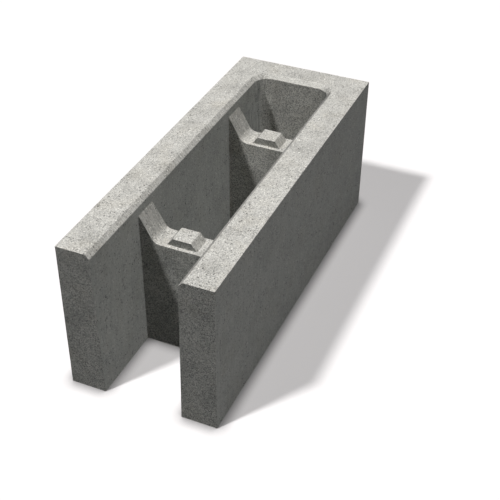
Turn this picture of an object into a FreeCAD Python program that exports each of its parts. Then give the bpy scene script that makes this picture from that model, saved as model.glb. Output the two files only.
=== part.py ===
"""A concrete formwork block: a trough open at one end, with two saddle webs across it.

Millimetres.  X runs across the block and Y along it, with the open end at -Y and the closed
end at +Y, and Z is up.  The origin is the middle of the base that the block stands on.
The block is one casting, so it is one body.
"""

import FreeCAD, Part
import Sketcher
import math
import os

NODE = "formwork_block"

# Driving sizes: name, value in millimetres or degrees, and what it measures
SIZES = [
    ("block_length", 500.0, "overall length"),
    ("block_width", 190.0, "overall width"),
    ("block_height", 200.0, "overall height, one course"),
    ("side_wall", 45.4, "side wall at its foot"),
    ("end_wall", 40.7, "wall of the closed end at its foot"),
    ("draft_angle", 0.9, "lean of each face inside the mould, so that the cells widen upwards"),
    ("corner_radius", 20.0, "upright corners of the cell at the closed end"),
    ("rim_chamfer", 5.6, "bevel round the top of the trough"),
    ("web_thickness", 39.1, "web at its foot"),
    ("web_spacing", 250.0, "from the middle of one web to the middle of the other"),
    ("web_shift", 1.4, "how much nearer both webs are to the open end than the block's quarter points"),
    ("saddle_depth", 50.0, "from the top of the block down to the flat on a web"),
    ("haunch", 16.6, "from the foot line of a side wall to the corner of the flat"),
    ("flank_angle", 60.0, "slope of a haunch where it climbs from the flat to the side wall"),
    ("saddle_radius", 12.0, "rounding between the flat and a haunch"),
    ("nub_foot", 39.0, "nub on the flat, across the block at its foot"),
    ("nub_crest", 24.0, "nub, across the block at its top"),
    ("nub_length", 25.0, "nub, along the block"),
    ("nub_height", 10.0, "nub above the flat"),
    ("overrun", 10.0, "how far a cut runs on past the last face that it opens"),
]

# Two coordinates that differ by less than this are the same one
NEAR = 0.01

ORIGIN_POINT = (-1, 1)
START, END = 1, 2

doc = FreeCAD.newDocument("formwork_block_model")
sheet = doc.addObject("Spreadsheet::Sheet", "sizes")


class Size:
    """A size as a number, together with the rule that binds it to the sheet."""

    def __init__(self, value, rule):
        self.value = value
        self.rule = rule

    def __add__(self, other):
        return Size(self.value + other.value, f"{self.rule} + {other.rule}")

    def __sub__(self, other):
        return Size(self.value - other.value, f"{self.rule} - ({other.rule})")

    def half(self):
        return Size(self.value / 2, f"({self.rule}) / 2")


def fill_sheet():
    """Write the driving sizes into the sheet, each value under its alias."""
    for row, (alias, value, meaning) in enumerate(SIZES, start=1):
        sheet.set(f"A{row}", alias)
        sheet.set(f"B{row}", str(value))
        sheet.set(f"C{row}", meaning)
        sheet.setAlias(f"B{row}", alias)
    doc.recompute()


def size(alias):
    """One driving size, read from the sheet."""
    return Size(getattr(sheet, alias), f"sizes.{alias}")


def cell_half_width():
    """From the block's middle plane to the foot line of a side wall."""
    return size("block_width").half() - size("side_wall")


def saddle_floor():
    """Height of the flat on top of a web."""
    return size("block_height") - size("saddle_depth")


def near_web():
    """From the middle of the block to the middle of the web nearer the open end."""
    return size("web_spacing").half() + size("web_shift")


def far_web():
    """From the middle of the block to the middle of the web nearer the closed end."""
    return size("web_spacing").half() - size("web_shift")


def origin_feature(body, role):
    """One of the body's own base planes or axes."""
    return next(plane for plane in body.Origin.OriginFeatures if plane.Role == role)


def new_sketch(body, role, name):
    """An empty sketch on one of the body's base planes."""
    sketch = body.newObject("Sketcher::SketchObject", name)
    sketch.AttachmentSupport = (origin_feature(body, role), [""])
    sketch.MapMode = "FlatFace"
    return sketch


def closed_outline(sketch, points):
    """Draw a closed chain of lines through the points; level and upright lines are kept so."""
    corners = [FreeCAD.Vector(across, up, 0) for across, up in points]
    lines = []
    for start, end in zip(corners, corners[1:] + corners[:1]):
        line = sketch.addGeometry(Part.LineSegment(start, end), False)
        if abs(start.y - end.y) < NEAR:
            sketch.addConstraint(Sketcher.Constraint("Horizontal", line))
        elif abs(start.x - end.x) < NEAR:
            sketch.addConstraint(Sketcher.Constraint("Vertical", line))
        lines.append(line)
    for line, following in zip(lines, lines[1:] + lines[:1]):
        sketch.addConstraint(Sketcher.Constraint("Coincident", line, END, following, START))
    return lines


def dimension(sketch, name, kind, references, driving):
    """Add a named dimension, bound to the sheet by the rule of the size that drives it."""
    index = sketch.addConstraint(Sketcher.Constraint(kind, *references, driving.value))
    sketch.renameConstraint(index, name)
    sketch.setExpression(f"Constraints.{name}", driving.rule)


def reach_both_ways(sketch, name, left_point, right_point, half):
    """Hold two points equally far to the left and to the right of the middle."""
    dimension(sketch, f"{name}_left", "DistanceX", (*left_point, *ORIGIN_POINT), half)
    dimension(sketch, f"{name}_right", "DistanceX", (*ORIGIN_POINT, *right_point), half)


def edges_where(feature, chosen):
    """Names of the feature's edges that pass a test."""
    edges = enumerate(feature.Shape.Edges, start=1)
    return [f"Edge{number}" for number, edge in edges if chosen(edge)]


def lies_level(edge, height):
    """Whether both ends of an edge are at one height."""
    return all(abs(vertex.Z - height.value) < NEAR for vertex in edge.Vertexes)


def inside_outline(point):
    """Whether a point lies within the block's outer faces, and on none of them."""
    in_width = abs(point.x) < size("block_width").half().value - NEAR
    return in_width and abs(point.y) < size("block_length").half().value - NEAR


def make_outer_block(body):
    """The plain block, standing on its base."""
    sketch = new_sketch(body, "XY_Plane", "outer_outline")
    across = size("block_width").half().value
    along = size("block_length").half().value
    corners = [(-across, -along), (across, -along), (across, along), (-across, along)]
    open_end, right_side, closed_end, _ = closed_outline(sketch, corners)
    opposite = (open_end, START, closed_end, START)
    sketch.addConstraint(Sketcher.Constraint("Symmetric", *opposite, *ORIGIN_POINT))
    width_ends = (open_end, START, open_end, END)
    dimension(sketch, "width", "DistanceX", width_ends, size("block_width"))
    length_ends = (right_side, START, right_side, END)
    dimension(sketch, "length", "DistanceY", length_ends, size("block_length"))
    block = body.newObject("PartDesign::Pad", "outer_block")
    block.Profile = sketch
    block.setExpression("Length", size("block_height").rule)


def draw_cell(sketch, name, lowest, highest):
    """Outline of one cell at its foot, from its lowest to its highest place along the block.

    Each place is a sign, for the side of the block's middle, and a distance from that middle.
    """
    half = cell_half_width()
    (low_sign, low), (high_sign, high) = lowest, highest
    bottom = low_sign * low.value
    top = high_sign * high.value
    corners = [(-half.value, bottom), (half.value, bottom), (half.value, top), (-half.value, top)]
    low_line, _, high_line, _ = closed_outline(sketch, corners)
    reach_both_ways(sketch, name, (low_line, START), (low_line, END), half)
    for end, line, (sign, place) in (("low", low_line, lowest), ("high", high_line, highest)):
        on_line = (line, START)
        ends = (*on_line, *ORIGIN_POINT) if sign < 0 else (*ORIGIN_POINT, *on_line)
        dimension(sketch, f"{name}_{end}", "DistanceY", ends, place)


def cut_cells(body):
    """Three upright cells right through: they leave the side walls, two webs and one end."""
    sketch = new_sketch(body, "XY_Plane", "cell_outlines")
    half_length = size("block_length").half()
    half_web = size("web_thickness").half()
    past_open_end = half_length + size("overrun")
    end_wall_face = half_length - size("end_wall")
    draw_cell(sketch, "open_bay", (-1, past_open_end), (-1, near_web() + half_web))
    draw_cell(sketch, "middle_cell", (-1, near_web() - half_web), (1, far_web() - half_web))
    draw_cell(sketch, "closed_cell", (1, far_web() + half_web), (1, end_wall_face))
    cells = body.newObject("PartDesign::Pocket", "cells")
    cells.Profile = sketch
    cells.Reversed = True
    cells.setExpression("Length", size("block_height").rule)
    return cells


def cut_saddles(body):
    """The trough above the webs: a flat floor between two haunches that climb to the walls."""
    sketch = new_sketch(body, "XZ_Plane", "saddle_profile")
    wall = cell_half_width()
    half_flat = wall - size("haunch")
    floor = saddle_floor()
    past_top = size("block_height") + size("overrun")
    slope = math.radians(size("flank_angle").value)
    haunch_top = floor.value + size("haunch").value * math.tan(slope)
    outline = [
        (-half_flat.value, floor.value),
        (half_flat.value, floor.value),
        (wall.value, haunch_top),
        (wall.value, past_top.value),
        (-wall.value, past_top.value),
        (-wall.value, haunch_top),
    ]
    flat, right_flank, _, lid, _, left_flank = closed_outline(sketch, outline)
    reach_both_ways(sketch, "flat", (flat, START), (flat, END), half_flat)
    reach_both_ways(sketch, "wall", (lid, END), (lid, START), wall)
    dimension(sketch, "floor", "DistanceY", (*ORIGIN_POINT, flat, START), floor)
    dimension(sketch, "lid", "DistanceY", (*ORIGIN_POINT, lid, START), past_top)
    lean = Size(slope, f"{size('flank_angle').rule} * 1 deg")
    dimension(sketch, "slope", "Angle", (right_flank,), lean)
    sketch.addConstraint(Sketcher.Constraint("Equal", right_flank, left_flank))
    saddles = body.newObject("PartDesign::Pocket", "saddles")
    saddles.Profile = sketch
    saddles.Midplane = True
    both_webs = size("web_spacing") + size("web_thickness")
    saddles.setExpression("Length", (both_webs + size("overrun") + size("overrun")).rule)
    return saddles


def lean_inner_faces(body, base):
    """Give every upright face inside the block its draft, pivoted at the base."""

    def is_inner(face):
        return abs(face.normalAt(0, 0).z) < NEAR and inside_outline(face.CenterOfMass)

    draft = body.newObject("PartDesign::Draft", "draft")
    faces = enumerate(base.Shape.Faces, start=1)
    draft.Base = (base, [f"Face{number}" for number, face in faces if is_inner(face)])
    draft.NeutralPlane = (origin_feature(body, "XY_Plane"), [""])
    draft.setExpression("Angle", size("draft_angle").rule)
    return draft


def round_cell_corners(body, base):
    """Round the two upright corners where the closed end meets the side walls."""

    def is_corner(edge):
        full_height = abs(edge.BoundBox.ZLength - size("block_height").value) < NEAR
        return full_height and inside_outline(edge.CenterOfMass)

    corners = body.newObject("PartDesign::Fillet", "cell_corners")
    corners.Base = (base, edges_where(base, is_corner))
    corners.setExpression("Radius", size("corner_radius").rule)
    return corners


def round_saddles(body, base):
    """Round the four edges where a web's flat turns up into a haunch."""
    half_flat = cell_half_width() - size("haunch")

    def is_turn(edge):
        beside_flat = abs(abs(edge.CenterOfMass.x) - half_flat.value) < NEAR
        return beside_flat and lies_level(edge, saddle_floor())

    turns = body.newObject("PartDesign::Fillet", "saddle_turns")
    turns.Base = (base, edges_where(base, is_turn))
    turns.setExpression("Radius", size("saddle_radius").rule)
    return turns


def add_nub(body):
    """A blunt wedge in the middle of the web nearer the open end."""
    sketch = new_sketch(body, "XZ_Plane", "nub_profile")
    sketch.setExpression(".AttachmentOffset.Base.z", near_web().rule)
    half_foot = size("nub_foot").half()
    half_crest = size("nub_crest").half()
    floor = saddle_floor()
    crest = floor + size("nub_height")
    outline = [
        (-half_foot.value, floor.value),
        (half_foot.value, floor.value),
        (half_crest.value, crest.value),
        (-half_crest.value, crest.value),
    ]
    foot, right_side, top, _ = closed_outline(sketch, outline)
    reach_both_ways(sketch, "foot", (foot, START), (foot, END), half_foot)
    reach_both_ways(sketch, "crest", (top, END), (top, START), half_crest)
    dimension(sketch, "floor", "DistanceY", (*ORIGIN_POINT, foot, START), floor)
    rise = (right_side, START, right_side, END)
    dimension(sketch, "rise", "DistanceY", rise, size("nub_height"))
    nub = body.newObject("PartDesign::Pad", "nub")
    nub.Profile = sketch
    nub.Midplane = True
    nub.setExpression("Length", size("nub_length").rule)
    return nub


def repeat_nub(body, nub):
    """The same nub on the other web."""
    nubs = body.newObject("PartDesign::LinearPattern", "nubs")
    nubs.Originals = [nub]
    nubs.Direction = (origin_feature(body, "Y_Axis"), [""])
    nubs.Occurrences = 2
    nubs.setExpression("Length", size("web_spacing").rule)
    body.Tip = nubs
    return nubs


def bevel_rim(body, base):
    """Bevel the top edge of the trough, along both walls and round the closed end."""

    def is_rim(edge):
        return lies_level(edge, size("block_height")) and inside_outline(edge.CenterOfMass)

    rim = body.newObject("PartDesign::Chamfer", "rim")
    rim.Base = (base, edges_where(base, is_rim))
    rim.setExpression("Size", size("rim_chamfer").rule)
    return rim


def settle(feature, adds):
    """Recompute, and stop unless the feature built well and changed the volume the right way."""
    doc.recompute()
    problem = {"Invalid", "Error"} & set(feature.State)
    if problem or feature.Shape.isNull() or not feature.Shape.isValid():
        raise RuntimeError(f"{feature.Name} did not build: {feature.State}")
    change = feature.Shape.Volume - feature.BaseFeature.Shape.Volume
    if (change > 0) != adds:
        raise RuntimeError(f"{feature.Name} changed the volume by {change:.1f} mm3")
    print(f"{feature.Name}: {change / 1000:+.2f} cm3")
    return feature


def make_block():
    """Build the whole casting, one feature after the other."""
    body = doc.addObject("PartDesign::Body", NODE)
    body.Label = NODE
    body.Placement = FreeCAD.Placement()
    make_outer_block(body)
    doc.recompute()
    settle(cut_cells(body), adds=False)
    saddles = settle(cut_saddles(body), adds=False)
    leaning = settle(lean_inner_faces(body, saddles), adds=False)
    corners = settle(round_cell_corners(body, leaning), adds=True)
    settle(round_saddles(body, corners), adds=True)
    nub = settle(add_nub(body), adds=True)
    nubs = settle(repeat_nub(body, nub), adds=True)
    settle(bevel_rim(body, nubs), adds=False)
    return body


def check_document():
    """Stop if any object of the document failed."""
    for item in doc.Objects:
        if {"Invalid", "Error"} & set(item.State):
            raise RuntimeError(f"{item.Name} failed: {item.State}")


def write_part(body):
    """Write the finished solid, after a last look at it."""
    shape = body.Shape
    if shape.isNull() or not shape.isValid() or len(shape.Solids) != 1:
        raise RuntimeError(f"{body.Label} is not one valid solid")
    os.makedirs("parts", exist_ok=True)
    shape.exportStep(os.path.join("parts", f"{body.Label}.step"))
    box = shape.optimalBoundingBox()
    print(f"{body.Label}: {box.XLength:.2f} x {box.YLength:.2f} x {box.ZLength:.2f} mm")
    print(f"volume {shape.Volume / 1000:.1f} cm3, {len(shape.Faces)} faces")


fill_sheet()
formwork_block = make_block()
check_document()
write_part(formwork_block)
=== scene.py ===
"""Concrete formwork block: its worn skin, its concrete, and the floor, lamps and camera around it.

Sizes are in millimetres. The meshes are in metres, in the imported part's own frame: X across the block,
Y along it towards the closed end, Z up from the floor.
"""
import logging
import math
from dataclasses import dataclass, field
from enum import Enum
from functools import partial

import bpy
import numpy as np
from mathutils import Matrix, Vector
from numpy.typing import NDArray


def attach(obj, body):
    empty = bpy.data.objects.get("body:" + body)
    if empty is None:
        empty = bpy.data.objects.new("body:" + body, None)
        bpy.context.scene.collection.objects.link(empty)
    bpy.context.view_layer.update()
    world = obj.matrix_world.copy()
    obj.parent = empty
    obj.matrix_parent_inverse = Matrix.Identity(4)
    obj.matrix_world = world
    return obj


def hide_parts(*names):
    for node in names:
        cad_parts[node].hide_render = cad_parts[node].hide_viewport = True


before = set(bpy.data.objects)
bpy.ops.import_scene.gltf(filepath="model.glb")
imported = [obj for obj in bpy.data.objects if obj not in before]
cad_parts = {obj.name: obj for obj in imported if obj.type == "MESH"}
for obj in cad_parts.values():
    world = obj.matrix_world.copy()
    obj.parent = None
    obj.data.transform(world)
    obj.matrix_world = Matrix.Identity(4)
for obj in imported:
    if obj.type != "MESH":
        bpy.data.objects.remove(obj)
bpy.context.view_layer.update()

Array = NDArray[np.float64]
Faces = NDArray[np.int64]
NODE = "formwork_block"
MM = 0.001
GROWTH = 0.5  # how much wider the gap between points gets with each millimetre from an edge
TRIAL_POINTS = 4001  # places along a line where its gaps are summed up
PROBE = 0.05  # how far to each side of a point the slope is read
LUMP_NUMBERS = 4096  # random numbers that the cube corners share
LUMP_STRIDES = np.array([1031, 2053, 3079])  # steps through those numbers, along X, Y and Z
log = logging.getLogger(NODE)


class Reach(Enum):
    """What a lamp lights."""

    ALL = "block and floor"
    FLOOR = "floor only"


@dataclass(frozen=True)
class BlockSizes:
    """Sizes of the block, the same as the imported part's."""

    half_width: float = 95.0
    half_length: float = 250.0
    height: float = 200.0
    cell_half: float = 49.6  # half the trough's width at its foot
    end_inner: float = 209.3  # inner face of the closed end, at its foot
    draft_degrees: float = 0.9  # every face that a mould core forms leans by this
    corner: float = 20.0  # upright corners of the closed cell
    bevel: float = 5.6  # rim of the trough, 45 degrees
    web_middle: float = 125.0  # half the distance between the webs' middles
    web_shift: float = 1.4  # how much nearer both webs are to the open end
    web_half: float = 19.55  # half a web's thickness at its foot
    saddle: float = 150.0  # level of a web's flat
    flat_half: float = 33.0  # half the flat, to where it would meet the flanks
    flank_degrees: float = 60.0
    saddle_round: float = 12.0  # hollow between flat and flank
    nub_foot: float = 19.5  # half the nub's width across the block, at its foot
    nub_crest: float = 12.0  # and at its crest
    nub_along: float = 12.5  # half its length along the block
    nub_height: float = 10.0

    @property
    def lean(self) -> float:
        """Return how far a core's face moves out for each millimetre up."""
        return math.tan(math.radians(self.draft_degrees))

    @property
    def rim(self) -> float:
        """Return the level where the rim's bevel starts."""
        return self.height - self.bevel

    @property
    def haunch_level(self) -> float:
        """Return the level where a saddle's flank runs out on the side wall."""
        slope = math.tan(math.radians(self.flank_degrees))
        climb = self.saddle + slope * (self.cell_half - self.flat_half)
        return climb / (1.0 - slope * self.lean)


def stations(length: float, step: float, fine_start: float | None = None, fine_end: float | None = None,
             rows: int = 0) -> Array:
    """Space points along a line, closer together where it meets an edge.

    The gap between two points is step, or near a fine end that end's gap plus GROWTH times the distance
    to it. Points are where the running sum of one over the gap passes equal shares of its total.

    Args:
        length: Length of the line.
        step: Widest gap.
        fine_start: Gap at the start, or None where there is no edge.
        fine_end: Gap at the end, or None.
        rows: Number of gaps, or 0 to take it from the running sum.

    Returns:
        Shares of the length from 0 to 1.
    """
    place = np.linspace(0.0, length, TRIAL_POINTS)
    gap = np.full_like(place, step)
    if fine_start is not None:
        gap = np.minimum(gap, fine_start + GROWTH * place)
    if fine_end is not None:
        gap = np.minimum(gap, fine_end + GROWTH * (length - place))
    share = (0.5 / gap[1:] + 0.5 / gap[:-1]) * np.diff(place)
    total = np.concatenate([[0.0], np.cumsum(share)])
    rows = rows or max(2, round(float(total[-1])))
    return np.interp(np.linspace(0.0, total[-1], rows + 1), total, place) / length


def between(start: Array, end: Array, shares: Array) -> Array:
    """Return points on straight lines from start to end, one more axis long, at the given shares."""
    start, end = np.asarray(start, float), np.asarray(end, float)
    return start[..., None, :] + (end - start)[..., None, :] * shares[:, None]


def run_on(*parts: Array) -> Array:
    """Join grids along their second axis, each starting on the last row of the one before."""
    return np.concatenate([parts[0]] + [part[:, 1:] for part in parts[1:]], axis=1)


@dataclass
class Skin:
    """A surface gathered from grids of points, welded where their edges meet."""

    points: list[Array] = field(default_factory=list)
    faces: list[Faces] = field(default_factory=list)
    count: int = 0

    def add(self, grid: Array, keep: NDArray[np.bool_] | None = None, closed: bool = False) -> None:
        """Add a grid of points as four-sided faces.

        A face's front is the side that the cross product of the first and second axis points to.

        Args:
            grid: Points, by rows on the first axis and columns on the second.
            keep: Which faces are kept, or None for all.
            closed: Whether the last column joins the first.
        """
        rows, columns = grid.shape[:2]
        index = self.count + np.arange(rows * columns).reshape(rows, columns)
        if closed:
            index = np.concatenate([index, index[:, :1]], axis=1)
        quads = np.stack([index[:-1, :-1], index[1:, :-1], index[1:, 1:], index[:-1, 1:]], axis=-1)
        self.faces.append(quads[keep] if keep is not None else quads.reshape(-1, 4))
        self.points.append(grid.reshape(-1, 3))
        self.count += rows * columns

    def weld(self) -> tuple[Array, Faces]:
        """Merge points in the same small cube of space, and return those that faces use, and the faces.

        The cubes are shifted a little, so that round sizes don't fall on their sides.
        """
        cubes_per_mm, shift = 1000.0, 0.000271
        points, faces = np.concatenate(self.points), np.concatenate(self.faces)
        cells = np.floor((points + shift) * cubes_per_mm).astype(np.int64)
        _, first, merged = np.unique(cells, axis=0, return_index=True, return_inverse=True)
        faces = merged.reshape(-1)[faces]
        used, faces = np.unique(faces, return_inverse=True)
        return points[first[used]], faces.reshape(-1, 4)


@dataclass(frozen=True)
class Lumps:
    """Soft random lumps in space, from 0 to 1.

    Space is cut into cubes and each cube corner has a random number. A point's value is blended from
    its cube's eight corners, with the smooth step 3t^2 - 2t^3 along each axis.
    """

    size: float
    seed: int

    def at(self, points: Array) -> Array:
        """Return the value at each point, given in millimetres."""
        table = np.random.default_rng(self.seed).random(LUMP_NUMBERS)
        cell = np.floor(points / self.size)
        part = points / self.size - cell
        part = part * part * (3.0 - 2.0 * part)
        cell = cell.astype(np.int64)
        corner = np.array([[i, j, k] for i in (0, 1) for j in (0, 1) for k in (0, 1)])
        value = table[(cell[:, None, :] + corner) @ LUMP_STRIDES % LUMP_NUMBERS]
        weight = np.where(corner == 1, part[:, None, :], 1.0 - part[:, None, :]).prod(axis=-1)
        return (value * weight).sum(axis=1)


def smooth_step(low: float, high: float, value: Array) -> Array:
    """Return 0 below low, 1 above high and 3t^2 - 2t^3 between them."""
    share = np.clip((value - low) / (high - low), 0.0, 1.0)
    return share * share * (3.0 - 2.0 * share)


def blunt(heights: list[Array], radius: Array) -> Array:
    """Join half-spaces into one solid with rounded outward edges.

    The input is how far a point stands above each plane. The radius is added to each, those still
    above nought are put together as the sides of a box whose diagonal counts, and the radius comes
    off again. Away from edges that is the height above the nearest plane.

    Args:
        heights: Height above each plane.
        radius: Radius of the edges at each point.

    Returns:
        Height above the rounded solid, negative inside it.
    """
    raised = np.stack(heights) + radius
    return np.sqrt((np.maximum(raised, 0.0) ** 2).sum(axis=0)) + np.minimum(raised.max(axis=0), 0.0) - radius


@dataclass(frozen=True)
class BlockShape:
    """The block as one formula: how far a point stands above its surface."""

    sizes: BlockSizes

    def trough(self, x: Array, y: Array, level: Array | float) -> Array:
        """Return how far a point is into the walls from the trough, its upright corners rounded."""
        s = self.sizes
        across = np.abs(x) - (s.cell_half + s.lean * level) + s.corner
        along = y - (s.end_inner + s.lean * level) + s.corner
        outside = np.hypot(np.maximum(across, 0.0), np.maximum(along, 0.0))
        return outside + np.minimum(np.maximum(across, along), 0.0) - s.corner

    def saddle(self, x: Array, z: Array) -> Array:
        """Return the height above a web's top: flat, round hollow, flank.

        The hollow is an arc that touches the flat and the flank. Between its two ends the height is
        the radius less the distance to the arc's centre, and elsewhere that above the nearer plane.
        """
        s = self.sizes
        angle = math.radians(s.flank_degrees)
        out = np.abs(x) - s.flat_half
        flat = z - s.saddle
        flank = flat * math.cos(angle) - out * math.sin(angle)
        right = out + s.saddle_round * math.tan(angle / 2.0)
        up = flat - s.saddle_round
        in_arc = (right > 0.0) & (right * math.cos(angle) + up * math.sin(angle) < 0.0)
        return np.where(in_arc, s.saddle_round - np.hypot(right, up), np.minimum(flat, flank))

    def height(self, points: Array, radius: Array) -> Array:
        """Return how far each point stands above the block, whose outward edges have a radius."""
        s = self.sizes
        x, y, z = points.T
        into = self.trough(x, y, z)
        bevel = (s.bevel - self.trough(x, y, s.rim) + z - s.height) * math.sqrt(0.5)
        walls = blunt([np.abs(x) - s.half_width, np.abs(y) - s.half_length, z - s.height, -z, -into,
                       bevel], radius)
        off_web = np.abs(np.abs(y + s.web_shift) - s.web_middle)
        web = blunt([self.saddle(x, z), off_web - (s.web_half - s.lean * z), -z,
                     np.abs(x) - s.cell_half - s.bevel], radius)
        fall = (s.nub_foot - s.nub_crest) / s.nub_height
        side = (np.abs(x) - s.nub_foot + (z - s.saddle) * fall) / math.hypot(1.0, fall)
        nub = blunt([z - s.saddle - s.nub_height, off_web - s.nub_along, side,
                     s.saddle - s.nub_height - z], radius)
        return np.minimum(np.minimum(walls, web), nub)

    def slope(self, points: Array, radius: Array) -> Array:
        """Return the height's slope at each point, from its change between two places beside it."""
        sides = [self.height(points + PROBE * axis, radius) - self.height(points - PROBE * axis, radius)
                 for axis in np.eye(3)]
        return np.stack(sides, axis=1) / (2.0 * PROBE)


@dataclass
class FormworkBlock:
    """The one piece: side walls, closed end, two saddle webs and their nubs, in one skin."""

    sizes: BlockSizes = field(default_factory=BlockSizes)
    step: float = 3.35  # widest gap between points
    fine: float = 0.4  # gap at an edge
    worn: float = 0.24  # radius of a sound edge
    nibbled: float = 0.75  # what a nibbled edge has on top of that
    nibbles: tuple[tuple[float, Lumps], ...] = ((0.7, Lumps(6.5, 11)), (0.3, Lumps(2.6, 12)))
    nibble_start: float = 0.60  # lumps above this nibble the edge
    nibble_full: float = 0.86
    relief: float = 0.17  # deepest hollow in the cast surface
    hollows: tuple[tuple[float, Lumps], ...] = ((0.35, Lumps(31.0, 13)), (0.65, Lumps(6.3, 14)))
    smoothed: float = 0.6  # share of the relief that the mould's plates wiped off the sides
    passes: int = 4  # times that each point slides towards the worn surface
    rubbed: float = 0.35  # depth of wear at which an edge counts as fully rubbed

    # where the points are, as shares of a length: up the inner face to the haunch and on to the rim,
    # over the bevel, across a wall's top, up the outer face, and through a web
    low: Array = field(init=False)
    high: Array = field(init=False)
    slant: Array = field(init=False)
    across: Array = field(init=False)
    outside: Array = field(init=False)
    thick: Array = field(init=False)
    margin_rows: int = field(init=False)  # rows of a web's top before its nub
    nub_rows: int = field(init=False)  # and along the nub

    def __post_init__(self) -> None:
        """Work out the rows that neighbouring surfaces share."""
        s = self.sizes
        fine = self.fine
        self.low = stations(s.haunch_level, self.step, fine, fine)
        self.high = stations(s.rim - s.haunch_level, self.step, fine, fine)
        self.slant = stations(s.bevel * math.sqrt(2.0), self.step, fine, fine)
        self.across = stations(s.half_width - s.cell_half - s.bevel, self.step, fine, fine)
        rows = sum(len(part) - 1 for part in (self.low, self.high, self.slant))
        self.outside = stations(s.height, self.step, fine, fine, rows)
        half = s.web_half - s.lean * s.saddle
        edge = 0.5 * (1.0 - s.nub_along / half)
        margin = stations(half - s.nub_along, self.step, fine, fine) * edge
        middle = edge + stations(2.0 * s.nub_along, self.step, fine, fine) * (1.0 - 2.0 * edge)
        self.margin_rows, self.nub_rows = len(margin) - 1, len(middle) - 1
        self.thick = np.concatenate([margin, middle[1:], 1.0 - margin[::-1][1:]])

    def half_path(self) -> dict[str, Array]:
        """Lay out the left half of the walls' path, from the open end to the middle of the closed one.

        Each station has a point on the inner foot, the way that point leans as it rises, the way into
        the wall, and a point on the outer face. They are straight shares of each stretch's two ends,
        but for the cell's corner, where they follow a quarter circle.

        Returns:
            Arrays foot, lean, into and outer, and the number of the web each gap is at, or 0.
        """
        s, t, step, fine = self.sizes, self.sizes.lean, self.step, self.fine
        near, far, shift = s.web_middle - s.web_half, s.web_middle + s.web_half, s.web_shift
        straight_end = s.end_inner - s.corner
        stops = [(-s.half_length, 0.0), (-far - shift, t), (-near - shift, -t), (near - shift, t),
                 (far - shift, -t), (straight_end, t)]
        gaps = [stations(s.half_length - far - shift, step, fine, fine), self.thick,
                stations(2.0 * near, step, fine, fine), self.thick,
                stations(straight_end - far + shift, step, fine)]
        foot, lean, web = [], [], []
        for (y0, lean0), (y1, lean1), shares, number in zip(stops, stops[1:], gaps, (0, 1, 0, 2, 0)):
            foot.append(between([-s.cell_half, y0], [-s.cell_half, y1], shares)[:-1])
            lean.append(between([-t, lean0], [-t, lean1], shares)[:-1])
            web.append(np.full(len(shares) - 1, number))
        foot, lean = np.concatenate(foot), np.concatenate(lean)
        into = np.tile([-1.0, 0.0], (len(foot), 1))
        outer = np.stack([np.full(len(foot), -s.half_width), foot[:, 1] + s.rim * lean[:, 1]], axis=1)

        # the cell's corner turns through two eighths of a circle, up to the block's own corner and on
        turn_y = straight_end + s.rim * t
        fan = stations(s.half_length - turn_y, 1.5 * step, None, fine)
        eighth = np.linspace(0.0, 0.25, len(fan))
        turn = np.concatenate([eighth, 0.25 + eighth[1:]]) * math.pi
        ray = np.stack([-np.cos(turn), np.sin(turn)], axis=1)
        centre = np.array([s.corner - s.cell_half, straight_end])
        beside = between([-s.half_width, turn_y], [-s.half_width, s.half_length], fan)
        behind = between([-s.half_width, s.half_length], [centre[0] - s.rim * t, s.half_length],
                         1.0 - fan[::-1])
        rest = stations(s.cell_half - s.corner, step)[1:]
        end_foot = between([centre[0], s.end_inner], [0.0, s.end_inner], rest)
        end_lean = between([-t, t], [0.0, t], rest)
        end_outer = np.full_like(end_foot, s.half_length)
        end_outer[:, 0] = end_foot[:, 0] + s.rim * end_lean[:, 0]
        return {
            "foot": np.concatenate([foot, centre + s.corner * ray, end_foot]),
            "lean": np.concatenate([lean, np.tile([-t, t], (len(turn), 1)), end_lean]),
            "into": np.concatenate([into, ray, np.tile([0.0, 1.0], (len(rest), 1))]),
            "outer": np.concatenate([outer, beside, behind[1:], end_outer]),
            "web": np.concatenate(web + [np.zeros(len(turn) + len(rest) - 1, int)])}

    def add_walls(self, skin: Skin) -> None:
        """Carry the wall's section along the U-shaped path, and close its two ends.

        The section goes up the inner face, over the bevel, across the top, down the outer face and
        back along the base. The gaps at the webs are left open below the haunch.

        Args:
            skin: Surface that the walls are added to.
        """
        s = self.sizes
        half = self.half_path()
        flip = np.array([-1.0, 1.0])
        foot, lean, into, outer = (np.concatenate([half[name], (half[name] * flip)[-2::-1]])
                                   for name in ("foot", "lean", "into", "outer"))
        web = np.concatenate([half["web"], half["web"][::-1]])

        def at(place: Array, level: float) -> Array:
            """Return plan points raised to a level."""
            return np.concatenate([place, np.full((len(place), 1), level)], axis=1)

        rise = [at(foot + level * lean, level) for level in (0.0, s.haunch_level, s.rim)]
        lip = at(foot + s.rim * lean + s.bevel * into, s.height)
        top, base = at(outer, s.height), at(outer, 0.0)
        section = run_on(between(rise[0], rise[1], self.low), between(rise[1], rise[2], self.high),
                         between(rise[2], lip, self.slant), between(lip, top, self.across),
                         between(top, base, 1.0 - self.outside[::-1]), between(base, rise[0], self.across))
        section = section[:, :-1]
        keep = np.ones((section.shape[0] - 1, section.shape[1]), bool)
        keep[web > 0, :len(self.low) - 1] = False
        skin.add(section, keep, closed=True)

        rows = len(self.outside) - 1
        for end, order in ((0, -1), (-1, 1)):
            inner = section[end, :rows + 1]
            outside = between(base[end], top[end], self.outside)
            grid = between(inner, outside, self.across)
            skin.add(grid.transpose(1, 0, 2)[::order])

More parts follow.
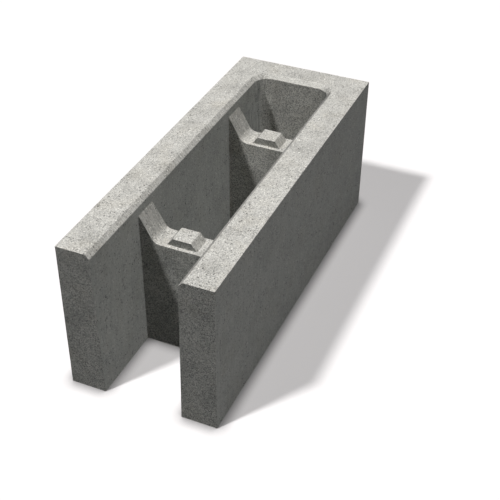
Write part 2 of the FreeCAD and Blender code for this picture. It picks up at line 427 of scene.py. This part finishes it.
    def saddle_line(self) -> tuple[Array, slice]:
        """Trace a web's top from wall to wall, as points across and up.

        It is straight down the flank, an arc, and straight along the flat, and the same again turned
        left for right.

        Returns:
            Points (x, z), and which of them the nub stands on, from edge to edge.
        """
        s = self.sizes
        angle = math.radians(s.flank_degrees)
        touch = s.saddle_round * math.tan(angle / 2.0)
        wall = np.array([-s.cell_half - s.lean * s.haunch_level, s.haunch_level])
        flank_end = np.array([-s.flat_half - touch * math.cos(angle), s.saddle + touch * math.sin(angle)])
        arc_end = np.array([touch - s.flat_half, s.saddle])
        nub_edge = np.array([-s.nub_foot, s.saddle])
        arc_points = 8
        turn = np.linspace(angle, 0.0, arc_points)
        arc = arc_end + s.saddle_round * np.stack([-np.sin(turn), 1.0 - np.cos(turn)], axis=1)
        length = float(np.hypot(*(flank_end - wall)))
        down = between(wall, flank_end, stations(length, self.step, self.fine))
        flat = between(arc_end, nub_edge, stations(-arc_end[0] - s.nub_foot, self.step, None, self.fine))
        nub = between(nub_edge, nub_edge * [-1.0, 1.0],
                      stations(2.0 * s.nub_foot, self.step, self.fine, self.fine))
        left = np.concatenate([down[:-1], arc[:-1], flat[:-1]])
        return np.concatenate([left, nub, left[::-1] * [-1.0, 1.0]]), slice(len(left), len(left) + len(nub))

    def add_web(self, skin: Skin, side: int) -> None:
        """Carry a web's section across the trough, with a gap where its nub stands.

        At each point of the saddle line the section goes up the face towards the open end, along the
        top, down the other face and back along the base.

        Args:
            skin: Surface that the web is added to.
            side: -1 for the web nearer the open end, 1 for the other.
        """
        s = self.sizes
        line, under_nub = self.saddle_line()
        foot_x = line[:, 0] * s.cell_half / -line[0, 0]
        centre = side * s.web_middle - s.web_shift
        middle = np.full(len(line), centre)
        corners = []
        for x, z, way in ((foot_x, 0.0 * foot_x, -1), (line[:, 0], line[:, 1], -1),
                          (line[:, 0], line[:, 1], 1), (foot_x, 0.0 * foot_x, 1)):
            corners.append(np.stack([x, middle + way * (s.web_half - s.lean * z), z], axis=1))
        front_foot, front_top, back_top, back_foot = corners
        section = run_on(between(front_foot, front_top, self.low), between(front_top, back_top, self.thick),
                         between(back_top, back_foot, 1.0 - self.low[::-1]),
                         between(back_foot, front_foot, self.thick))[:, :-1]
        keep = np.ones((section.shape[0] - 1, section.shape[1]), bool)
        start = len(self.low) - 1 + self.margin_rows
        keep[under_nub.start:under_nub.stop - 1, start:start + self.nub_rows] = False
        skin.add(section, keep, closed=True)
        self.add_nub(skin, line[under_nub, 0] / s.nub_foot, centre)

    def add_nub(self, skin: Skin, wide: Array, centre: float) -> None:
        """Add a nub: a strip up its front, over its crest and down its back, and two leaning sides.

        Args:
            skin: Surface that the nub is added to.
            wide: Shares of the nub's half width where its columns are, from -1 to 1.
            centre: Where the middle of its web is along the block.
        """
        s = self.sizes
        long = (self.thick[self.margin_rows:self.margin_rows + self.nub_rows + 1] - 0.5) * 2.0 \
            * (s.web_half - s.lean * s.saddle)
        up = stations(math.hypot(s.nub_height, s.nub_foot - s.nub_crest), self.step, self.fine, self.fine)
        reach = s.nub_foot + (s.nub_crest - s.nub_foot) * up
        level = s.saddle + s.nub_height * up
        along = np.concatenate([np.full(len(up), long[0]), long[1:-1], np.full(len(up), long[-1])])
        spread = np.concatenate([reach, np.full(len(long) - 2, s.nub_crest), reach[::-1]])
        height = np.concatenate([level, np.full(len(long) - 2, level[-1]), level[::-1]])
        strip = np.stack(np.broadcast_arrays(wide[:, None] * spread, centre + along, height), axis=-1)
        skin.add(strip)
        for hand in (-1.0, 1.0):
            out, rise = hand * reach[:, None], level[:, None]
            cheek = np.stack(np.broadcast_arrays(out, centre + long, rise), axis=-1)
            skin.add(cheek if hand < 0.0 else cheek.transpose(1, 0, 2))

    def wear(self, points: Array) -> tuple[Array, Array]:
        """Round and nibble the outward edges, and give the surfaces their cast relief.

        Each point slides down the slope of the block's height until the height is less than nought by
        the local hollow: step = (height + hollow) / slope squared, taken along the slope, a few times.

        Args:
            points: Points on the sharp block.

        Returns:
            The moved points, and how worn each one's edge is, from 0 to 1.
        """
        shape = BlockShape(self.sizes)
        sharp = np.zeros(len(points))
        log.info("largest gap between the grids and the formula: %.5f mm",
                 np.abs(shape.height(points, sharp)).max())
        nibble = sum(share * lumps.at(points) for share, lumps in self.nibbles)
        radius = self.worn + self.nibbled * smooth_step(self.nibble_start, self.nibble_full, nibble)
        facing = np.abs(shape.slope(points, sharp))
        smooth = facing[:, 0] / np.maximum(facing.sum(axis=1), 1e-6)
        lumpy = sum(share * lumps.at(points) for share, lumps in self.hollows)
        hollow = self.relief * (1.0 - self.smoothed * smooth) * lumpy
        moved = points.copy()
        flattest = 0.25
        for _ in range(self.passes):
            slope = shape.slope(moved, radius)
            steep = np.maximum((slope ** 2).sum(axis=1), flattest)
            moved -= slope * ((shape.height(moved, radius) + hollow) / steep)[:, None]
        return moved, np.clip(shape.height(points, radius) / self.rubbed, 0.0, 1.0)

    def build(self, name: str) -> bpy.types.Object:
        """Make the piece.

        Args:
            name: Name of the object and its mesh.

        Returns:
            The object, at the origin, with its place in its mesh.
        """
        skin = Skin()
        self.add_walls(skin)
        for side in (-1, 1):
            self.add_web(skin, side)
        points, faces = skin.weld()
        points, rubbed = self.wear(points)
        mesh = bpy.data.meshes.new(name)
        mesh.from_pydata((points * MM).tolist(), [], faces.tolist())
        mesh.update()
        mesh.polygons.foreach_set("use_smooth", np.ones(len(mesh.polygons), bool))
        layer = mesh.attributes.new("rubbed", "FLOAT", "POINT")
        layer.data.foreach_set("value", rubbed.astype(np.float32))
        piece = bpy.data.objects.new(name, mesh)
        bpy.context.scene.collection.objects.link(piece)
        edges = np.sort(np.stack([faces, np.roll(faces, -1, axis=1)], axis=-1).reshape(-1, 2), axis=1)
        _, uses = np.unique(edges, axis=0, return_counts=True)
        log.info("%s: %d points, %d triangles, %d open edges", name, len(points), 2 * len(faces),
                 int((uses != 2).sum()))
        return piece


def colour(code: str) -> tuple[float, float, float, float]:
    """Turn an sRGB hex value into the linear colour that a shader takes."""
    parts = np.array([int(code[i:i + 2], 16) for i in (1, 3, 5)]) / 255.0
    plain = np.where(parts <= 0.04045, parts / 12.92, ((parts + 0.055) / 1.055) ** 2.4)
    return (*plain.tolist(), 1.0)


def add_node(tree: bpy.types.NodeTree, kind: str, inputs: dict[int | str, object] | None = None,
             **settings: object) -> bpy.types.Node:
    """Add a node with its settings, values and links.

    Args:
        tree: Node tree that takes the node.
        kind: Blender's name for the kind of shader node, without ShaderNode before it.
        inputs: For each input, by name or number, a value, an output socket, a node for its first
            output, or the inputs of a Map Range node that leads there.
        settings: Attributes of the node.

    Returns:
        The node.
    """
    node = tree.nodes.new("ShaderNode" + kind)
    for name, value in settings.items():
        setattr(node, name, value)
    for key, value in (inputs or {}).items():
        value = add_node(tree, "MapRange", value) if isinstance(value, dict) else value
        value = value.outputs[0] if isinstance(value, bpy.types.Node) else value
        if isinstance(value, bpy.types.NodeSocket):
            tree.links.new(value, node.inputs[key])
        else:
            node.inputs[key].default_value = value
    return node


@dataclass(frozen=True)
class Ramp:
    """A straight change from start to end while a value goes from low to high, and level beyond."""

    low: float
    high: float
    start: float = 0.0
    end: float = 1.0

    def __call__(self, value: object) -> dict[int | str, object]:
        """Return the inputs of a Map Range node that changes a value this way."""
        return {0: value, 1: self.low, 2: self.high, 3: self.start, 4: self.end}


@dataclass(frozen=True)
class PressedConcrete:
    """Dense grey concrete, vibrated and pressed in a steel mould and pushed out wet.

    The eye sees a dry, chalky surface with no gloss: pale cement paste with sand grains of many greys,
    and dark pits and bright flecks in loose groups. The top and the faces across the block have an open,
    gritty skin. The sides, which the mould's plates wiped on the way out, have a tight one with faint
    upright drag lines and a few shallow pits drawn out upright. Light and shade are painted into the
    colour as well: painted light on the faces across towards the closed end, a painted highlight on
    the closed end's rim, and painted shade on the sides, near the foot, in the saddles, on the nubs, on
    the closed cell's right wall, on the right wall's rim bevel and, together with the mould's dark skin,
    on all upright faces.
    """

    paste: str = "#D7D5CF"
    # dark sand grey, also the colour of the painted shade
    sand_dark_and_painted_shade: str = "#4C4B48"
    # light sand grey, also the colour of the painted light and the painted highlight
    sand_light_and_painted_light: str = "#FBF9F1"
    sand_warm: str = "#B7A67F"
    pit: str = "#33322F"
    # the mould's dark skin, also used as painted shade on upright faces
    mould_skin_and_shade: str = "#425255"

    grain: float = 0.95  # sand is 0.3 to 1.2 mm, drawn coarse so that it shows in the render
    grit: float = 0.6
    pits: float = 2.7  # spacing
    marks: float = 7.0  # spacing of the shallow pits on the sides
    group: float = 14.0  # how wide a group of pits is
    cloud: float = 34.0  # how wide the paler and darker patches are
    drag: float = 2.2  # width of a drag line

    # how the surface faces, by the part of its normal along X, Y or Z
    sides: Ramp = Ramp(0.8, 0.98)
    ends: Ramp = Ramp(0.5, 0.95)
    uprights: Ramp = Ramp(0.2, 0.55, 1.0, 0.0)
    levels: Ramp = Ramp(0.2, 0.55)

    # by place, in millimetres along Y or Z
    # painted light on the faces across, towards the closed end
    end_painted_light: Ramp = Ramp(0.0, 110.0, 0.0, 0.66)
    # painted shade on the sides, towards the closed end
    side_painted_shade: Ramp = Ramp(-250.0, 250.0, 0.0, 0.24)
    # painted shade near the foot
    foot: Ramp = Ramp(110.0, 0.0)
    foot_painted_shade: Ramp = Ramp(0.0, 1.0, 0.03, 0.13)  # on the sides, and on the faces across
    # painted shade on level surfaces down in the saddles
    saddle_painted_shade: Ramp = Ramp(192.0, 186.0, 0.0, 0.05)
    far: Ramp = Ramp(-250.0, 250.0)
    far_dark: Ramp = Ramp(0.0, 1.0, 0.0, 0.12)
    far_calm: Ramp = Ramp(0.0, 1.0, 1.0, 0.62)  # how much of the grain is left there

    # sand: how rough the skin is, and how far the grains' greys leave the paste's
    gritty: Ramp = Ramp(0.35, 0.65, 0.6, 1.0)
    open_skin: Ramp = Ramp(0.45, 0.95, 1.0, 0.36)  # from the tops and ends to the wiped sides
    coarse: Ramp = Ramp(0.0, 1.0, 1.0, 2.0)  # on the faces across
    paler_grain: float = 0.8  # more where these are paler
    greys: Ramp = Ramp(0.45, 1.55, -1.0, 1.0)  # below nought darker than the paste, above it lighter
    dark_sand: Ramp = Ramp(0.0, -1.0)
    dark_most: Ramp = Ramp(0.0, 1.0, 0.6, 0.56)  # a little less on the faces across
    light_sand: Ramp = Ramp(0.0, 1.0, 0.0, 0.84)
    white_grains: Ramp = Ramp(0.93, 1.0, 0.0, 0.7)
    black_grains: Ramp = Ramp(0.1, 0.0, 0.0, 0.8)
    warm_grains: Ramp = Ramp(0.9, 1.0, 0.0, 0.25)

    dark_clouds: Ramp = Ramp(0.45, 0.75)
    cloud_dark: Ramp = Ramp(0.0, 1.0, 0.28, 0.16)  # less on the wiped sides
    warm_clouds: Ramp = Ramp(0.5, 0.75, 0.0, 0.1)

    # painted shade on the nubs' leaning sides and upright faces
    nub: Ramp = Ramp(30.0, 20.0, 0.0, 0.36)  # off the middle plane
    nub_level: Ramp = Ramp(150.0, 152.0)
    nub_stretch: Ramp = Ramp(200.0, 160.0)  # short of the closed end

    # drag lines: waves a millimetre along X and Z, against one over their width along Y
    drag_waves: tuple[float, float] = (0.15, 0.04)
    ridges: Ramp = Ramp(0.48, 0.3, 0.0, 0.6)
    grooves: Ramp = Ramp(0.48, 0.72, 0.0, 0.62)
    side_drag: float = 0.2
    flank_drag: float = 0.9
    cell: Ramp = Ramp(155.0, 182.0)
    cell_inside: Ramp = Ramp(75.0, 65.0, 0.0, 0.7)  # off the middle plane
    # painted shade on the closed cell's right wall
    turned_painted_shade: Ramp = Ramp(-0.35, -0.75, 0.0, 0.7)  # the cell's right wall, which faces left

    # pits and flecks: radius by chance, as a share of their spacing, and how soft their edge is
    pit_size: Ramp = Ramp(0.4, 1.0, 0.0, 0.42)
    pit_edge: Ramp = Ramp(0.0, 0.08)
    pit_dark: Ramp = Ramp(0.0, 1.0, 0.85, 0.2)  # less on the faces across
    fleck_size: Ramp = Ramp(0.34, 0.0, 0.0, 0.42)
    fleck_edge: Ramp = Ramp(0.0, 0.08, 0.0, 0.85)
    mark_size: Ramp = Ramp(0.3, 1.0, 0.08, 0.34)
    mark_group: Ramp = Ramp(0.4, 0.55)
    mark_edge: Ramp = Ramp(0.0, 0.12)
    mark_dark: float = 0.36
    mark_squeeze: float = 0.65  # marks are taller than wide by one over this

    # the trough's rim, with painted shade on the right wall's bevel and a painted highlight at the closed
    # end, and the rubbed edges
    slant: float = 0.7071  # how far a 45 degree bevel's normal goes along each axis
    # painted shade on the rim's bevel along the right wall
    right_rim_painted_shade: Ramp = Ramp(0.94, 0.98, 0.0, 0.52)
    # painted highlight on the closed end's rim bevel, broken up by the grit
    end_rim: Ramp = Ramp(0.93, 0.995)
    rim_painted_highlight: Ramp = Ramp(0.38, 0.6, 0.0, 0.75)
    # the mould's dark skin, and painted shade on upright faces against the tops
    kept_skin_and_shade: Ramp = Ramp(0.0, 1.0, 0.43, 0.325)  # on the sides, and on the faces across
    paler_skin: float = -0.28  # less of it where these are paler
    dust: Ramp = Ramp(192.0, 186.0, 0.12, 0.4)

    sand_stands: float = -0.35  # how far sand stands up, against the distance to its grain's middle
    pits_sink: float = -0.6  # how far a pit goes down, against the same
    relief: float = 0.7  # millimetres
    chalk: Ramp = Ramp(0.3, 0.7, 0.74, 0.92)  # roughness

    def make(self) -> bpy.types.Material:
        """Return the material."""
        material = bpy.data.materials.new("pressed concrete")
        material.use_nodes = True
        material.node_tree.nodes.clear()
        nodes = ConcreteNodes(self, material.node_tree)
        for step in (nodes.paint_light_and_shade_by_place, nodes.add_sand, nodes.add_clouds, nodes.paint_nub_shade,
                     nodes.draw_drag_lines, nodes.add_pits, nodes.add_marks, nodes.paint_rim_shade_and_highlight,
                     nodes.add_skin_shade_and_dust, nodes.finish):
            step()
        return material


class ConcreteNodes:
    """The concrete's node tree while it is put together, one layer of colour over another."""

    def __init__(self, look: PressedConcrete, tree: bpy.types.NodeTree) -> None:
        """Read what the layers ask of a point: its place, how it faces, its grit and its group.

        The value wiped is 1 on the sides, across is 1 on the faces across the block, upright is 1 on
        all but the tops, and level is 1 there.

        Args:
            look: Colours, sizes and amounts.
            tree: Empty node tree.
        """
        self.look = look
        self.add = add = partial(add_node, tree)
        self.skin: object = colour(look.paste)
        place = add("TexCoord")
        self.normal = place.outputs["Normal"]
        self.mm = add("VectorMath", {0: place.outputs["Object"], "Scale": 1.0 / MM}, operation="SCALE")
        self.x, self.y, self.z = add("SeparateXYZ", {0: self.mm}).outputs
        self.turn = add("SeparateXYZ", {0: self.normal}).outputs
        self.nx, self.ny, self.nz = (add("Math", {0: part}, operation="ABSOLUTE") for part in self.turn)
        self.off_middle = add("Math", {0: self.x}, operation="ABSOLUTE")
        self.flank = add("Math", {0: self.nx, 1: self.nz}, operation="MULTIPLY")
        self.wiped = add("MapRange", look.sides(self.nx))
        self.across = add("MapRange", look.ends(self.ny))
        self.upright = add("MapRange", look.uprights(self.nz))
        self.level = add("MapRange", look.levels(self.nz))
        self.group = add("TexNoise", {"Vector": self.mm, "Scale": 1.0 / look.group})
        self.gritty = add("MapRange", look.gritty(self.group))
        self.grit = add("TexNoise", {"Vector": self.mm, "Scale": 1.0 / look.grit, "Detail": 1.0,
                                     "Roughness": 0.6})
        self.bent = add("VectorMath", {0: self.mm, 1: self.grit}, operation="ADD")

    def lay(self, over: str, amount: object, where: object | None = None) -> None:
        """Lay a colour over the ones before.

        Args:
            over: The colour.
            amount: How much of it, from 0 to 1.
            where: A second amount that the first is multiplied by, or None.
        """
        if where is not None:
            amount = self.add("Math", {0: amount, 1: where}, operation="MULTIPLY")
        # a mix node takes its two colours at 6 and 7, and gives the mixed one at 2
        mix = self.add("Mix", {0: amount, 6: self.skin, 7: colour(over)}, data_type="RGBA")
        self.skin = mix.outputs[2]

    def paint_light_and_shade_by_place(self) -> None:
        """Paint light and shade on surfaces by where they are.

        Faces across the block get painted light towards the closed end, and the sides painted shade there.
        All get a little painted shade near the foot, and level surfaces get some down in the saddles. The
        tops darken a little towards the closed end, where their grain is calmer too.
        """
        look, add = self.look, self.add
        self.painted_light = add("Math", {0: look.end_painted_light(self.y), 1: self.across}, operation="MULTIPLY")
        # painted light on the faces across, towards the closed end
        self.lay(look.sand_light_and_painted_light, self.painted_light)
        # painted shade: sides towards the closed end, all faces near the foot, level faces in the saddles
        self.lay(look.sand_dark_and_painted_shade, look.side_painted_shade(self.y), self.wiped)
        self.lay(look.sand_dark_and_painted_shade, look.foot(self.z) | {4: look.foot_painted_shade(self.across)})
        self.lay(look.sand_dark_and_painted_shade, look.saddle_painted_shade(self.z), self.level)
        far = add("MapRange", look.far(self.y) | {4: self.level})
        self.lay(look.sand_dark_and_painted_shade, look.far_dark(far))
        self.calm = add("MapRange", look.far_calm(far))

    def add_sand(self) -> None:
        """Scatter sand and grit: each grain has a grey of its own, and a few are black, white or warm."""
        look, add = self.look, self.add
        rough = add("Math", {0: self.gritty, 1: look.open_skin(self.nx)}, operation="MULTIPLY")
        rough = add("Math", {0: look.coarse(self.across), 1: rough}, operation="MULTIPLY")
        rough = add("Math", {0: self.painted_light, 1: look.paler_grain, 2: rough}, operation="MULTIPLY_ADD")
        self.rough = add("Math", {0: rough, 1: self.calm}, operation="MULTIPLY")

        self.sand = add("TexVoronoi", {"Vector": self.mm, "Scale": 1.0 / look.grain})
        grey, kind, warmth = add("SeparateColor", {0: self.sand.outputs["Color"]}).outputs
        mixed = add("Math", {0: grey, 1: self.grit}, operation="ADD")
        speck = add("Math", {0: look.greys(mixed), 1: self.rough}, operation="MULTIPLY")
        self.lay(look.sand_dark_and_painted_shade, look.dark_sand(speck) | {4: look.dark_most(self.across)})
        self.lay(look.sand_light_and_painted_light, look.light_sand(speck))
        self.lay(look.sand_light_and_painted_light, look.white_grains(kind))
        self.lay(look.sand_dark_and_painted_shade, look.black_grains(kind))
        self.lay(look.sand_warm, look.warm_grains(warmth))

    def add_clouds(self) -> None:
        """Lay patches where the paste dried darker or warmer."""
        look, add = self.look, self.add
        cloud = add("TexNoise", {"Vector": self.mm, "Scale": 1.0 / look.cloud, "Detail": 3.0})
        self.lay(look.sand_dark_and_painted_shade, look.dark_clouds(cloud) | {4: look.cloud_dark(self.wiped)})
        hue = add("SeparateColor", {0: cloud.outputs["Color"]})
        self.lay(look.sand_warm, look.warm_clouds(hue.outputs["Blue"]))

    def paint_nub_shade(self) -> None:
        """Paint shade on the nubs' leaning sides and their upright faces."""
        look = self.look
        nub = look.nub(self.off_middle)
        # painted shade on the nubs
        self.lay(look.sand_dark_and_painted_shade, nub, self.flank)
        front = look.nub_level(self.z) | {4: self.across}
        self.lay(look.sand_dark_and_painted_shade, nub, look.nub_stretch(self.y) | {4: front})

    def draw_drag_lines(self) -> None:
        """Draw upright drag lines, from a noise stretched upright.

        They are faint on the wiped sides, and plain on the saddles' flanks, in the closed cell and
        round its upright corners. The cell's right wall gets painted shade too.
        """
        look, add = self.look, self.add
        along_x, along_z = look.drag_waves
        stretched = add("Mapping", {0: self.mm, "Scale": (along_x, 1.0 / look.drag, along_z)})
        lines = add("TexNoise", {"Vector": stretched, "Scale": 1.0, "Detail": 2.0})
        corner = add("Math", {0: self.nx, 1: self.ny}, operation="MULTIPLY")
        where = add("Math", {0: self.wiped, 1: look.side_drag, 2: corner}, operation="MULTIPLY_ADD")
        where = add("Math", {0: self.flank, 1: look.flank_drag, 2: where}, operation="MULTIPLY_ADD")
        cell = add("MapRange", look.cell(self.y) | {4: look.cell_inside(self.off_middle)})
        where = add("Math", {0: cell, 1: self.wiped, 2: where}, operation="MULTIPLY_ADD")
        self.lay(look.sand_dark_and_painted_shade, look.grooves(lines), where)
        self.lay(look.sand_light_and_painted_light, look.ridges(lines), where)
        # painted shade on the cell's right wall
        self.lay(look.sand_dark_and_painted_shade, look.turned_painted_shade(self.turn["X"]), cell)

    def add_pits(self) -> None:
        """Sink dark pits and set bright flecks.

        Each is the middle of a cell, bent out of round by the grit, as large as the cell's own random
        number says. Pits are larger in a gritty patch.
        """
        look, add = self.look, self.add
        cells = add("TexVoronoi", {"Vector": self.bent, "Scale": 1.0 / look.pits})
        chance = add("SeparateColor", {0: cells.outputs["Color"]}).outputs["Green"]
        size = add("Math", {0: look.pit_size(chance), 1: self.gritty}, operation="MULTIPLY")
        inside = add("Math", {0: size, 1: cells}, operation="SUBTRACT")
        self.hole = add("MapRange", look.pit_edge(inside))
        deep = add("Math", {0: look.pit_dark(self.across), 1: self.calm}, operation="MULTIPLY")
        self.lay(look.pit, self.hole, deep)
        inside = add("Math", {0: look.fleck_size(chance), 1: cells}, operation="SUBTRACT")
        self.lay(look.sand_light_and_painted_light, look.fleck_edge(inside))

    def add_marks(self) -> None:
        """Press larger, shallow pits in the wiped sides, drawn out upright and in groups."""
        look, add = self.look, self.add
        tall = add("Mapping", {0: self.bent, "Scale": (1.0, 1.0, look.mark_squeeze)})
        marks = add("TexVoronoi", {"Vector": tall, "Scale": 1.0 / look.marks})
        chance = add("SeparateColor", {0: marks.outputs["Color"]}).outputs["Red"]
        size = look.mark_group(self.group) | {4: look.mark_size(chance)}
        inside = add("Math", {0: size, 1: marks}, operation="SUBTRACT")
        self.mark = add("MapRange", look.mark_edge(inside) | {4: self.wiped})
        self.lay(look.pit, self.mark, look.mark_dark)

    def paint_rim_shade_and_highlight(self) -> None:
        """Paint shade on the rim's bevel along the right wall, and a painted highlight at the closed end."""
        look = self.look
        right, end = (self.add("VectorMath", {0: self.normal, 1: way}, operation="DOT_PRODUCT")
                      for way in ((-look.slant, 0.0, look.slant), (0.0, -look.slant, look.slant)))
        # painted shade on the rim's bevel along the right wall
        self.lay(look.sand_dark_and_painted_shade, look.right_rim_painted_shade(right.outputs["Value"]))
        # painted highlight on the closed end's rim bevel
        self.lay(look.sand_light_and_painted_light, look.rim_painted_highlight(self.grit), look.end_rim(end.outputs["Value"]))

    def add_skin_shade_and_dust(self) -> None:
        """Lay the mould's dark skin, also painted shade, on upright faces, and dust the rubbed edges."""
        look, add = self.look, self.add
        kept = add("Math", {0: self.painted_light, 1: look.paler_skin, 2: look.kept_skin_and_shade(self.across)},
                   operation="MULTIPLY_ADD")
        # the mould's dark skin, together with painted shade, on upright faces
        self.lay(look.mould_skin_and_shade, self.upright, kept)
        rubbed = add("Attribute", attribute_name="rubbed").outputs["Fac"]
        self.lay(look.sand_light_and_painted_light, look.dust(self.z), rubbed)

    def finish(self) -> None:
        """Raise the grit and sand, sink the pits, less on the wiped sides, and make the shader."""
        look, add = self.look, self.add
        bumps = add("Math", {0: self.sand, 1: look.sand_stands, 2: self.grit}, operation="MULTIPLY_ADD")
        bumps = add("Math", {0: bumps, 1: self.rough}, operation="MULTIPLY")
        sunk = add("Math", {0: self.hole, 1: self.mark}, operation="ADD")
        bumps = add("Math", {0: sunk, 1: look.pits_sink, 2: bumps}, operation="MULTIPLY_ADD")
        bump = add("Bump", {"Height": bumps, "Strength": 1.0, "Distance": look.relief * MM})
        shader = add("BsdfPrincipled", {"Base Color": self.skin, "Roughness": look.chalk(self.grit),
                                        "IOR": 1.5, "Specular IOR Level": 0.4, "Normal": bump})
        add("OutputMaterial", {0: shader})


@dataclass(frozen=True)
class PaleFloor:
    """A plain pale floor reading as white paper; it keeps the block's shadow and paints a contact shadow."""

    tone: float = 0.73  # what the camera sees of the lamps on it
    bounce: float = 0.015  # what it throws back at the block
    shade: str = "#FFFCFC"  # hue of the shadow
    # painted contact shadow: the paper darkens close to the block's foot
    contact_shadow: float = 18.0  # how far the dark line round the block's foot spreads

    def make(self) -> bpy.types.Material:
        """Return the material."""
        material = bpy.data.materials.new("pale floor")
        material.use_nodes = True
        tree = material.node_tree
        tree.nodes.clear()
        add = partial(add_node, tree)
        ray = add("LightPath")
        seen = add("Math", {0: ray.outputs["Is Camera Ray"], 1: ray.outputs["Is Glossy Ray"]},
                   operation="MAXIMUM")
        seen = add("Math", {0: seen, 1: ray.outputs["Is Transmission Ray"]}, operation="MAXIMUM")
        paper = tuple(self.tone * part for part in colour(self.shade)[:3]) + (1.0,)
        # painted contact shadow: ambient occlusion darkens the paper's colour near the block
        closed = add("AmbientOcclusion", {"Color": paper, "Distance": self.contact_shadow * MM}, samples=16)
        shown = add("BsdfDiffuse", {0: closed})
        thrown = add("BsdfDiffuse", {0: (self.bounce,) * 3 + (1.0,)})
        both = add("MixShader", {0: seen, 1: thrown, 2: shown})
        add("OutputMaterial", {0: both})
        return material


@dataclass(frozen=True)
class Lamp:
    """A far lamp.

    Its level is the share of a white surface's full brightness that it gives one facing it. A lamp
    of this kind gives all of it at an energy of pi.
    """

    name: str
    comes_from: tuple[float, float, float]
    level: float
    softness: float = 5.0  # width of its disc in degrees
    shadow: bool = True
    reach: Reach = Reach.ALL

    def place(self, floor: bpy.types.Collection) -> None:
        """Put the lamp in the scene.

        Args:
            floor: Collection with the floor alone, for a lamp that lights nothing else.
        """
        light = bpy.data.lights.new(self.name, "SUN")
        light.energy = self.level * math.pi
        light.angle = math.radians(self.softness)
        light.use_shadow = self.shadow
        holder = bpy.data.objects.new(self.name, light)
        holder.rotation_euler = Vector(self.comes_from).to_track_quat("Z", "Y").to_euler()
        bpy.context.scene.collection.objects.link(holder)
        if self.reach is Reach.FLOOR:
            holder.light_linking.receiver_collection = floor
        log.info("lamp %s lights %s", self.name, self.reach.value)


@dataclass(frozen=True)
class Studio:
    """Floor, lamps, world and camera, matched to the photograph."""

    lamps: tuple[Lamp, ...] = (
        # the sun-like key, from the left of the open end: 78 mm across and 113 mm along for 200 mm down
        Lamp("key", (-78.0, -113.0, 200.0), 0.47),
        # the same on the floor alone, so that the shadow there is as deep as in the photograph
        Lamp("floor key", (-78.0, -113.0, 200.0), 0.455, reach=Reach.FLOOR),
        # a broad lamp overhead
        Lamp("overhead", (0.0, 0.0, 1.0), 0.66, 8.0),
        # fills without shadows, from below the floor's edge, for the faces that the key misses
        Lamp("right fill", (1.0, 0.0, -1.5), 0.34, shadow=False),
        Lamp("back fill", (-0.7, 1.0, -0.3), 0.14, shadow=False))
    ambient: float = 0.006
    floor_half: float = 20000.0
    floor_drop: float = 0.1  # keeps the floor clear of the block's base
    position: tuple[float, float, float] = (436.62, -958.40, 845.82)
    azimuth: float = 23.192
    elevation: float = 36.992
    roll: float = 0.604
    lens: float = 72.226
    film: float = 36.0
    sight: float = 100000.0  # how far the camera sees

    def add_floor(self) -> bpy.types.Object:
        """Return a plain level floor under the block."""
        mesh = bpy.data.meshes.new("floor")
        half, level = self.floor_half * MM, -self.floor_drop * MM
        corners = [(-half, -half, level), (half, -half, level), (half, half, level), (-half, half, level)]
        mesh.from_pydata(corners, [], [(0, 1, 2, 3)])
        mesh.materials.append(PaleFloor().make())
        floor = bpy.data.objects.new("floor", mesh)
        bpy.context.scene.collection.objects.link(floor)
        return floor

    def add_world(self) -> None:
        """Give the block an even grey surround, and the camera a white one."""
        world = bpy.data.worlds.new("studio")
        world.use_nodes = True
        tree = world.node_tree
        tree.nodes.clear()
        ray = add_node(tree, "LightPath")
        grey = add_node(tree, "Background", {0: (1.0,) * 4, 1: self.ambient})
        white = add_node(tree, "Background", {0: (1.0,) * 4, 1: 1.0})
        both = add_node(tree, "MixShader", {0: ray.outputs["Is Camera Ray"], 1: grey, 2: white})
        add_node(tree, "OutputWorld", {0: both})
        bpy.context.scene.world = world

    def add_camera(self) -> None:
        """Stand the camera where the photograph's own straight edges put it."""
        data = bpy.data.cameras.new("camera")
        data.lens, data.sensor_width, data.clip_end = self.lens, self.film, self.sight * MM
        camera = bpy.data.objects.new("camera", data)
        turn = (Matrix.Rotation(math.radians(self.azimuth), 4, "Z")
                @ Matrix.Rotation(math.radians(90.0 - self.elevation), 4, "X")
                @ Matrix.Rotation(math.radians(self.roll), 4, "Z"))
        camera.matrix_world = Matrix.Translation(Vector(self.position) * MM) @ turn
        bpy.context.scene.collection.objects.link(camera)
        bpy.context.scene.camera = camera

    def build(self) -> None:
        """Set up everything around the block."""
        floor = bpy.data.collections.new("floor alone")
        floor.objects.link(self.add_floor())
        for lamp in self.lamps:
            lamp.place(floor)
        self.add_world()
        self.add_camera()
        bpy.context.scene.view_settings.view_transform = "Standard"


def main() -> None:
    """Build the block, dress it, and set up the studio."""
    logging.basicConfig(level=logging.INFO, format="%(name)s: %(message)s")
    block = FormworkBlock().build("concrete_block")
    block.data.materials.append(PressedConcrete().make())
    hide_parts(NODE)
    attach(block, "root")
    Studio().build()


if __name__ == "__main__":
    main()
